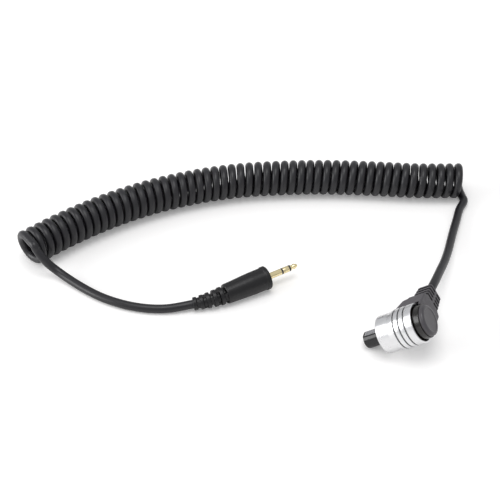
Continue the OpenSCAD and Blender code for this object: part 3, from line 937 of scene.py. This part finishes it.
def make_grip():
    bm = bmesh.new()
    turned(bm, [
        (GRIP_BORE_R, -GRIP_LEN, 0), *GRIP_ROWS, (NECK_R, GRIP_FRONT, 0.1),
        (NECK_R, GRIP_FRONT - NECK_SEAT, 0), (SHANK_R, GRIP_FRONT - NECK_SEAT, 0),
        (SHANK_R, GRIP_FRONT - GRIP_HOLLOW, 0),
        (GRIP_BORE_R, GRIP_FRONT - GRIP_HOLLOW, 0),
    ], 128, LATHE_X)
    for i in range(RELIEF_RINGS):
        r = RELIEF_R0 + (RELIEF_R1 - RELIEF_R0) * i / (RELIEF_RINGS - 1)
        a = i * RELIEF_STEP
        relief_ring(bm, r, a + RELIEF_GAP, a + RELIEF_STEP)
        half = math.radians(RELIEF_GAP) / 2 * BEND_R + WEB_OVERLAP
        relief_web(bm, r, a + RELIEF_GAP / 2, half, 90 * (i % 2))
    relief_core(bm)
    grip = new_object("jack_handle", bm)
    fuse(grip, CELL, 2)
    return grip


def add_jack(finishes):
    """The jack's visible pieces; returns them."""
    gold, dark = finishes["gold"], finishes["insert_black"]
    pieces = [settle(
        make_grip(), JACK, finishes["grip_rubber"], "grip_rubber", BODY, "jack_grip")]
    pieces.append(turned_jack("jack_point", [
        (0, TIP_REAR_X, 0), (TIP_ROD_R, TIP_REAR_X, 0), (TIP_ROD_R, TIP_X, 0),
        *TIP_ROWS, (0, JACK_END_X, 0),
    ], gold, "gold", "jack_tip"))
    pieces.append(turned_jack("jack_second_contact", [
        (RING_BORE_R, RING_REAR_X, 0), (RING_TUBE_R, RING_REAR_X, 0),
        (RING_TUBE_R, RING_XS[0], 0), (JACK_R, RING_XS[0], 0.06),
        (JACK_R, RING_XS[1], 0.06), (RING_BORE_R, RING_XS[1], 0),
    ], gold, "gold", "jack_ring"))
    pieces.append(turned_jack("jack_third_contact", [
        (SLEEVE_BORE_R, SLEEVE_XS[0], 0), (SHANK_R, SLEEVE_XS[0], 0),
        (SHANK_R, GRIP_FRONT - NECK_SEAT, 0), (NECK_R, GRIP_FRONT - NECK_SEAT, 0),
        (NECK_R, GRIP_FRONT + NECK_SEAT, 0.12), (JACK_R, GRIP_FRONT + NECK_SEAT, 0.05),
        (JACK_R, SLEEVE_XS[1], 0.06), (SLEEVE_BORE_R, SLEEVE_XS[1], 0),
    ], gold, "gold", "jack_sleeve"))
    for name, inner, outer, front, rear, node in (
        ("jack_front_band", TIP_ROD_R, RING_BORE_R, TIP_X, BAND_REAR_XS[0],
         "jack_inner_insulator"),
        ("jack_rear_band", RING_TUBE_R, SLEEVE_BORE_R, RING_XS[0], BAND_REAR_XS[1],
         "jack_outer_insulator"),
    ):
        pieces.append(turned_jack(name, [
            (inner, rear, 0), (outer, rear, 0), (outer, front - BAND_W, 0),
            (BAND_R, front - BAND_W, 0.04), (BAND_R, front, 0.04), (inner, front, 0),
        ], dark, "insert_black", node))
    return pieces


def add_plug(finishes):
    """The plug's visible pieces; the collar rides its own body."""
    for make, slot, body, node in (
        (make_nose, "plug_black", BODY, "nose_shell"),
        (make_collar, "collar_metal", "lock_collar", "lock_collar"),
        (make_barrel, "barrel_gloss", BODY, "inner_barrel"),
        (make_boot, "boot_rubber", BODY, "elbow_boot"),
    ):
        settle(make(), PLUG, finishes[slot], slot, body, node)
    settle(make_cap(), PLUG, cap_rubber(), "boot_rubber", BODY, "rear_cap")
    settle(make_leaf(), PLUG, finishes["steel"], "steel", BODY)


# ------------------------------------------------------------------ stage


FLOOR_SIZE = 6
FLOOR_DROP = 0.00002
FLOOR_COLOUR = (0.93, 0.92, 0.91)
FLOOR_LIFT = 0.185
FLOOR_GLEAM = 0.02
WORLD_COLOUR = (0.97, 0.98, 1.0)
WORLD_LEVEL = 0.6
LIGHT_AIM = (-0.05, 0.04, 0)
TOP_POWER = 3.75
LEFT_POWER = 3.8


def add_floor():
    """Pale paper that the camera and the gloss see a little brighter."""
    bpy.ops.mesh.primitive_plane_add(size=FLOOR_SIZE)
    floor = bpy.context.object
    floor.name = "floor"
    floor.location = (0, 0, -FLOOR_DROP)
    material, tree, shader = shade("floor_paper", FLOOR_COLOUR, 0.9)
    shader.inputs["Specular IOR Level"].default_value = 0.1
    rays = tree.nodes.new("ShaderNodeLightPath")
    gleam = tree.nodes.new("ShaderNodeMath")
    gleam.operation = "MULTIPLY"
    gleam.inputs[1].default_value = FLOOR_GLEAM
    tree.links.new(rays.outputs["Is Glossy Ray"], gleam.inputs[0])
    lift = tree.nodes.new("ShaderNodeMath")
    lift.operation = "MULTIPLY_ADD"
    lift.inputs[1].default_value = FLOOR_LIFT
    tree.links.new(rays.outputs["Is Camera Ray"], lift.inputs[0])
    tree.links.new(gleam.outputs["Value"], lift.inputs[2])
    glow = tree.nodes.new("ShaderNodeEmission")
    tree.links.new(lift.outputs["Value"], glow.inputs["Strength"])
    both = tree.nodes.new("ShaderNodeAddShader")
    tree.links.new(shader.outputs["BSDF"], both.inputs[0])
    tree.links.new(glow.outputs["Emission"], both.inputs[1])
    output = tree.nodes["Material Output"]
    tree.links.new(both.outputs["Shader"], output.inputs["Surface"])
    floor.data.materials.append(material)


def add_light(name, place, aim, size, power):
    data = bpy.data.lights.new(name, "AREA")
    data.shape = "RECTANGLE"
    data.size, data.size_y = size
    data.energy = power
    light = bpy.data.objects.new(name, data)
    light.location = place
    way = Vector(aim) - Vector(place)
    light.rotation_euler = way.to_track_quat("-Z", "Y").to_euler()
    bpy.context.scene.collection.objects.link(light)


def add_light_set():
    """Two softboxes over a plain world; places in metres, powers in watts."""
    add_light("softbox_top", (-0.1, -0.05, 1.0), LIGHT_AIM, (0.62, 0.62), TOP_POWER)
    add_light("softbox_left", (-0.83, -0.08, 0.24), LIGHT_AIM, (0.64, 0.5), LEFT_POWER)
    world = bpy.data.worlds.new("world")
    world.use_nodes = True
    background = world.node_tree.nodes["Background"]
    background.inputs["Color"].default_value = (*WORLD_COLOUR, 1)
    background.inputs["Strength"].default_value = WORLD_LEVEL
    bpy.context.scene.world = world
    bpy.context.scene.view_settings.view_transform = "Standard"


add_camera()
finishes = {slot: make() for slot, make in FINISHES.items()}
cord = add_cord(finishes["cord_rubber"])
dress_nodes(finishes)
add_plug(finishes)
(add_jack(finishes)
    + ["jack_terminals", "jack_inner_mould", "jack_conductors"])
add_floor()
add_light_set()
